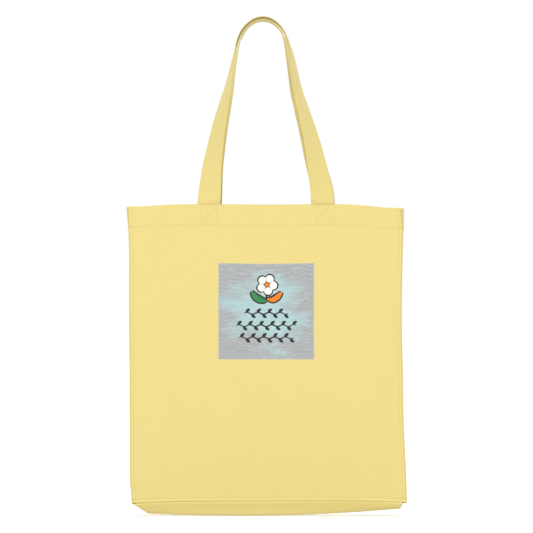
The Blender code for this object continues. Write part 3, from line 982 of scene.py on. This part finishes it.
# ---------------------------------------------------------------- materials
class Board:
    """Short names for wiring up one material's nodes."""

    def __init__(self, name):
        self.material = bpy.data.materials.new(name)
        self.material.use_nodes = True
        self.tree = self.material.node_tree
        self.shader = self.tree.nodes["Principled BSDF"]

    def give(self, socket, value):
        if isinstance(value, bpy.types.NodeSocket):
            self.tree.links.new(value, socket)
        elif value is not None:
            socket.default_value = value

    def math(self, operation, one, two=None, three=None):
        node = self.tree.nodes.new("ShaderNodeMath")
        node.operation = operation
        for socket, value in zip(node.inputs, (one, two, three)):
            self.give(socket, value)
        return node.outputs[0]

    def place(self, flat=True):
        """The spot on the flat cloth, in metres, or on the object."""
        node = self.tree.nodes.new("ShaderNodeUVMap" if flat else "ShaderNodeTexCoord")
        if flat:
            node.uv_map = "cloth"
            return node.outputs["UV"]
        return node.outputs["Object"]

    def scaled(self, vector, scale):
        node = self.tree.nodes.new("ShaderNodeVectorMath")
        node.operation = "MULTIPLY"
        self.give(node.inputs[0], vector)
        node.inputs[1].default_value = scale
        return node.outputs[0]

    def noise(self, vector, scale, detail=2.0, rough=0.5):
        node = self.tree.nodes.new("ShaderNodeTexNoise")
        self.give(node.inputs["Vector"], vector)
        node.inputs["Scale"].default_value = scale
        node.inputs["Detail"].default_value = detail
        node.inputs["Roughness"].default_value = rough
        return node.outputs["Fac"]

    def split(self, vector):
        node = self.tree.nodes.new("ShaderNodeSeparateXYZ")
        self.give(node.inputs[0], vector)
        return node.outputs[0], node.outputs[1], node.outputs[2]

    def blend(self, share, one, two):
        node = self.tree.nodes.new("ShaderNodeMix")
        node.data_type = "RGBA"
        self.give(node.inputs["Factor"], share)
        for socket, value in ((node.inputs[6], one), (node.inputs[7], two)):
            self.give(socket, (*value, 1) if isinstance(value, tuple) else value)
        return node.outputs[2]

    def bumps(self, height, distance, under=None):
        node = self.tree.nodes.new("ShaderNodeBump")
        node.inputs["Strength"].default_value = 1.0
        node.inputs["Distance"].default_value = distance
        self.give(node.inputs["Height"], height)
        self.give(node.inputs["Normal"], under)
        return node.outputs[0]


def weave_height(board, place, pitch):
    """Plain weave: threads over and under each other, 0 to 1."""
    u, v, _ = board.split(place)
    wander = board.math("MULTIPLY", board.math("SUBTRACT", board.noise(place, 260.0, 1.0), 0.5), 0.5)
    u = board.math("ADD", board.math("DIVIDE", u, pitch), wander)
    v = board.math("ADD", board.math("DIVIDE", v, pitch), wander)
    turn_u, turn_v = board.math("MULTIPLY", u, math.pi), board.math("MULTIPLY", v, math.pi)
    warp = board.math("ABSOLUTE", board.math("SINE", turn_u))
    weft = board.math("ABSOLUTE", board.math("SINE", turn_v))
    over = board.math("MULTIPLY", board.math("SINE", turn_u), board.math("SINE", turn_v))
    raised = board.math("MULTIPLY", warp, board.math("MULTIPLY_ADD", over, 0.45, 0.55))
    crossed = board.math("MULTIPLY", weft, board.math("MULTIPLY_ADD", over, -0.45, 0.55))
    return board.math("MAXIMUM", raised, crossed)


def canvas(name, colour, pitch=0.62 * MM, depth=0.10 * MM, sheen=0.12):
    """Dyed cotton canvas: woven, a little uneven in thread and dye, matt."""
    board = Board(name)
    place = board.place()
    weave = weave_height(board, place, pitch)
    across = board.noise(board.scaled(place, (900.0, 22.0, 1.0)), 1.0, 2.0)
    along = board.noise(board.scaled(place, (22.0, 900.0, 1.0)), 1.0, 2.0)
    threads = board.math("MULTIPLY", board.math("ADD", across, along), 0.5)
    cloudy = board.noise(place, 28.0, 3.0)
    pale = tuple(min(1.0, c * 1.05) for c in colour)
    deep = tuple(c * k for c, k in zip(colour, (0.955, 0.945, 0.90)))
    mixed = board.math("ADD", board.math("MULTIPLY", threads, 0.65), board.math("MULTIPLY", cloudy, 0.35))
    dyed = board.blend(mixed, deep, pale)
    # painted shade in the hollows of the weave
    painted_weave_shade = board.math("MULTIPLY_ADD", weave, 0.75, 0.0)
    shaded = board.blend(painted_weave_shade, tuple(c * k for c, k in zip(colour, (0.90, 0.87, 0.78))), dyed)
    # the tone attribute carries painted light and shade: above 0 a painted highlight, below 0 painted shade
    tone = board.tree.nodes.new("ShaderNodeAttribute")
    tone.attribute_name = "tone"
    painted_highlight = board.math("MULTIPLY", board.math("MAXIMUM", tone.outputs["Fac"], 0.0), 0.6)
    painted_shade = board.math("MULTIPLY", board.math("MINIMUM", tone.outputs["Fac"], 0.0), -0.6)
    shaded = board.blend(painted_highlight, shaded, tuple(min(1.0, c * 1.13) for c in colour))
    shaded = board.blend(painted_shade, shaded, tuple(c * k for c, k in zip(colour, (0.82, 0.79, 0.66))))
    # below -2, deep painted shade where the two handles would shade each other
    closed = board.math("MAXIMUM", board.math("MULTIPLY_ADD", tone.outputs["Fac"], -1.0, -2.0), 0.0)
    shaded = board.blend(closed, shaded, tuple(c * k for c, k in zip(colour, (0.30, 0.26, 0.14))))
    board.give(board.shader.inputs["Base Color"], shaded)
    board.shader.inputs["Roughness"].default_value = 0.92
    board.shader.inputs["Specular IOR Level"].default_value = 0.25
    board.shader.inputs["Sheen Weight"].default_value = sheen
    board.shader.inputs["Sheen Roughness"].default_value = 0.55
    slow = board.bumps(board.noise(place, 75.0, 3.0), 0.35 * MM)
    yarn = board.bumps(threads, 0.10 * MM, slow)
    board.give(board.shader.inputs["Normal"], board.bumps(weave, depth, yarn))
    return board.material


def thread(name, colour):
    board = Board(name)
    tone = board.noise(board.place(flat=False), 900.0, 1.0)
    board.give(board.shader.inputs["Base Color"], board.blend(tone, tuple(c * 0.9 for c in colour), colour))
    board.shader.inputs["Roughness"].default_value = 0.7
    board.shader.inputs["Specular IOR Level"].default_value = 0.35
    board.shader.inputs["Sheen Weight"].default_value = 0.1
    return board.material


def ink(name, colour, rough=0.8):
    """Ink soaked into the cloth, so the weave still shows."""
    board = Board(name)
    place = board.place()
    weave = weave_height(board, place, 0.62 * MM)
    # painted shade in the hollows of the weave
    board.give(board.shader.inputs["Base Color"],
               board.blend(weave, tuple(c * 0.86 for c in colour), colour))
    board.shader.inputs["Roughness"].default_value = rough
    board.shader.inputs["Specular IOR Level"].default_value = 0.2
    board.give(board.shader.inputs["Normal"], board.bumps(weave, 0.06 * MM))
    return board.material


def wavy_ground(name):
    """The print's ground: grey lilac clouding to pale teal, under fine pale wave crests."""
    board = Board(name)
    place = board.place()
    weave = weave_height(board, place, 0.62 * MM)
    u, v, _ = board.split(place)
    edge = board.math("MAXIMUM", board.math("ABSOLUTE", u), board.math("ABSOLUTE", v))
    reach = board.math("SQRT", board.math("ADD", board.math("MULTIPLY", u, u), board.math("MULTIPLY", v, v)))
    reach = board.math("ADD", board.math("MULTIPLY", reach, 0.7), board.math("MULTIPLY", edge, 0.3))
    cloud = board.noise(board.scaled(place, (13.0, 34.0, 1.0)), 1.0, 4.0, 0.6)
    middle = board.math("SUBTRACT", board.math("MULTIPLY_ADD", cloud, 0.170, -0.024), reach)
    middle = board.math("DIVIDE", middle, 0.034)
    clamp = board.math("MINIMUM", board.math("MAXIMUM", middle, 0.0), 1.0)
    lilac, teal, cream = (0.322, 0.327, 0.330), (0.335, 0.490, 0.495), (0.53, 0.57, 0.54)
    tone = board.blend(clamp, lilac, teal)
    high = board.math("SUBTRACT", v, 0.026)
    squares = board.math("ADD", board.math("MULTIPLY", u, u), board.math("MULTIPLY", high, high))
    glow = board.math("MULTIPLY_ADD", board.math("SQRT", squares), -38.0, 0.85)
    glow = board.math("MINIMUM", board.math("MAXIMUM", glow, 0.0), 0.8)
    tone = board.blend(glow, tone, cream)
    wobble = board.math("MULTIPLY", board.noise(board.scaled(place, (38.0, 120.0, 1.0)), 1.0, 2.0), 0.016)
    phase = board.math("MULTIPLY", board.math("ADD", u, wobble), math.pi / 0.0105)
    crest = board.math("MULTIPLY", board.math("ABSOLUTE", board.math("SINE", phase)), 0.30)
    rows = board.math("DIVIDE", board.math("ADD", v, wobble), 0.0058)
    rows = board.math("FRACT", board.math("ADD", rows, crest))
    near = board.math("ABSOLUTE", board.math("SUBTRACT", rows, 0.5))
    stroke = board.math("MAXIMUM", board.math("MULTIPLY_ADD", near, -5.5, 1.0), 0.0)
    broken = board.noise(board.scaled(place, (60.0, 170.0, 1.0)), 1.0, 2.0)
    stroke = board.math("MULTIPLY", stroke, board.math("MULTIPLY", broken, 0.62))
    tone = board.blend(stroke, tone, (0.56, 0.61, 0.61))
    rim = board.math("MULTIPLY", board.math("GREATER_THAN", edge, PRINT_HALF - 1.0 * MM), 0.35)
    tone = board.blend(rim, tone, (0.48, 0.49, 0.48))
    tone = board.blend(board.math("MULTIPLY_ADD", weave, -0.10, 0.10), tone, (0.35, 0.40, 0.40))
    board.give(board.shader.inputs["Base Color"], tone)
    board.shader.inputs["Roughness"].default_value = 0.85
    board.shader.inputs["Specular IOR Level"].default_value = 0.2
    board.give(board.shader.inputs["Normal"], board.bumps(weave, 0.07 * MM))
    return board.material


def plain(name, colour, rough):
    board = Board(name)
    board.shader.inputs["Base Color"].default_value = (*colour, 1)
    board.shader.inputs["Roughness"].default_value = rough
    return board.material


# ---------------------------------------------------------------- putting it together
YELLOW = (0.690, 0.585, 0.232)
CANVAS = canvas("pale yellow canvas", YELLOW)
STRAP_CANVAS = canvas("strap canvas", tuple(c * 0.985 for c in YELLOW), pitch=0.70 * MM)
THREAD = thread("sewing thread", (0.69, 0.59, 0.245))
TAPE = canvas("binding tape", (0.70, 0.60, 0.27), pitch=0.50 * MM, depth=0.05 * MM)
GROUND = wavy_ground("printed ground")

STRAP_ROW_IN = 2.6 * MM  # strap's edge to its row of stitches
CROWN_TURN = math.radians(92.3)

STITCHES = stitch_group()
ONE_STITCH = stitch_shape()


def dress(item, slot, *nodes):
    if nodes:
        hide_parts(*nodes)
    return item


def flattening(item):
    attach(item, "bag_body")
    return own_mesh(item)


def sew_side(word, side, body, crown_z):
    """One side of the bag: its panel, bindings, strap and stitches."""
    sheet = dress(panel(word + "_panel_cloth", side, CANVAS, 0.5 + 0.5 * side), "canvas", word + "_panel")
    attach(sheet, body)

    strap_item = strap(word + "_strap_cloth", side, crown_z, STRAP_CANVAS)
    strap_sewing = sew(word + "_strap_rows", strap_rows(side, crown_z), 5 + side)
    start, end = (0.0, side * 0.034, TOP_Z - 0.004), (0.0, side * 0.034, FOOT_Z + 0.008)
    dress(strap_item, "strap", word + "_handle", word + "_left_strap_tail", word + "_right_strap_tail")
    dress(strap_sewing, "thread")
    for item in (strap_item, strap_sewing):
        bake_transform(item)

    squares = square_rows(side, -1) + square_rows(side, 1)
    square_item = dress(sew(word + "_square_stitches", squares, 9 + side, 2.9 * MM), "thread",
                        word + "_left_box_stitch", word + "_right_box_stitch")
    seam_item = dress(sew(word + "_seam_stitches", seam_rows(side), 13 + side), "thread",
                      word + "_hem_stitching")
    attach(square_item, body)
    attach(seam_item, body)

    end = HALF_W - CLOTH - 0.7 * MM
    narrow = np.linspace(0, 1, 15) * (binding_high.x - binding_low.x)
    up = spaced(binding_low.z, binding_high.z, 4 * MM)
    for hand, hand_word in ((-1, "left"), (1, "right")):
        x = np.sort(hand * (end - narrow))
        item = tape(f"{word}_{hand_word}_seam_tape", side, x, up, 0, TAPE)
        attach(dress(item, "binding", f"{word}_{hand_word}_seam_binding"), body)
    foot = SEAM_Z + CLOTH + 0.3 * MM
    item = tape(word + "_bottom_seam_tape", side, spaced(-end, end, 4 * MM), foot + narrow, 1, TAPE)
    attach(dress(item, "binding", word + "_bottom_seam_binding"), body)


def sew_strips():
    """The two side strips and the bottom strip, each attached to the bag body with a mesh of its own."""
    for side, word in ((-1, "left"), (1, "right")):
        strip = dress(side_strip(word + "_gusset_cloth", side, CANVAS), "canvas", word + "_gusset")
        flattening(strip)
        across = line(FRONT_Y + 12.5 * MM, BACK_Y - 12.5 * MM, 60)
        rows = [strip_row(side, across, HEM_LINE_Z), strip_row(side, across, HEM_LINE_Z, inside=True)]
        flattening(dress(sew(word + "_gusset_hem_stitches", rows, 21 + side), "thread"))
    base = dress(bottom_strip("bottom_gusset_cloth", CANVAS), "canvas", "bottom_gusset")
    flattening(base)


def print_front():
    dark, white, green, orange, details = motif()
    layers = (
        ("print_ground", [ground_shape()], 0.10 * MM, GROUND),
        ("print_dark", dark, 0.16 * MM, ink("dark ink", (0.034, 0.032, 0.026))),
        ("print_white", white, 0.21 * MM, ink("white ink", (0.78, 0.78, 0.76))),
        ("print_green", green, 0.21 * MM, ink("green ink", (0.040, 0.230, 0.085))),
        ("print_orange", orange, 0.25 * MM, ink("orange ink", (0.72, 0.205, 0.020))),
        ("print_lines", details, 0.29 * MM, bpy.data.materials["dark ink"]),
    )
    for name, shapes, height, material in layers:
        item = dress(printed(name, shapes, height, material), "print")
        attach(item, "front_side")
        if name == "print_ground":
            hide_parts("front_print")


sew_side("front", -1, "front_side", CROWN_Z)
sew_side("back", 1, "bag_body", BACK_CROWN_Z)
sew_strips()
print_front()
bpy.data.objects.remove(ONE_STITCH)


# ---------------------------------------------------------------- camera and studio
def aim(item, target):
    item.rotation_euler = (Vector(target) - item.location).to_track_quat("-Z", "Y").to_euler()


def camera():
    distance = 14.0
    seen = 0.7337  # height and width of the view where the front panel stands
    data = bpy.data.cameras.new("camera")
    data.sensor_width = 36
    data.lens = data.sensor_width * (distance + FRONT_Y) / seen
    data.clip_end = 60
    item = bpy.data.objects.new("camera", data)
    bpy.context.scene.collection.objects.link(item)
    item.location = (0.0, -distance, 0.440)
    aim(item, (0.0, 0.0, 0.3435))
    bpy.context.scene.camera = item


def softbox(name, place, target, size, watts):
    """A square lamp that lights the bag but doesn't show itself."""
    light = bpy.data.lights.new(name, "AREA")
    light.size = size
    light.energy = watts
    item = bpy.data.objects.new(name, light)
    bpy.context.scene.collection.objects.link(item)
    item.location = place
    item.visible_camera = False
    aim(item, target)


def studio():
    scene = bpy.context.scene
    scene.view_settings.view_transform = "Standard"
    world = bpy.data.worlds.new("studio")
    world.use_nodes = True
    world.node_tree.nodes["Background"].inputs["Color"].default_value = (1, 1, 1, 1)
    world.node_tree.nodes["Background"].inputs["Strength"].default_value = 1.0
    scene.world = world
    reach = 25.0
    corners = [(-reach, -reach, 0), (reach, -reach, 0), (reach, reach, 0), (-reach, reach, 0)]
    pale = plain("pale floor", (0.50, 0.50, 0.50), 0.9)
    shader = pale.node_tree.nodes["Principled BSDF"]
    shader.inputs["Emission Color"].default_value = (1, 1, 1, 1)
    shader.inputs["Emission Strength"].default_value = 0.53
    new_object("floor", corners, [(0, 1, 2, 3)], pale)
    softbox("front softbox", (-0.4, -3.4, 2.7), (0, 0, 0.25), 2.2, 39)
    softbox("low front softbox", (-0.6, -4.0, 0.9), (0, 0, 0.2), 2.2, 27)
    softbox("back softbox", (0.3, 1.5, 3.6), (0, 0, 0.2), 2.5, 50)


camera()
studio()
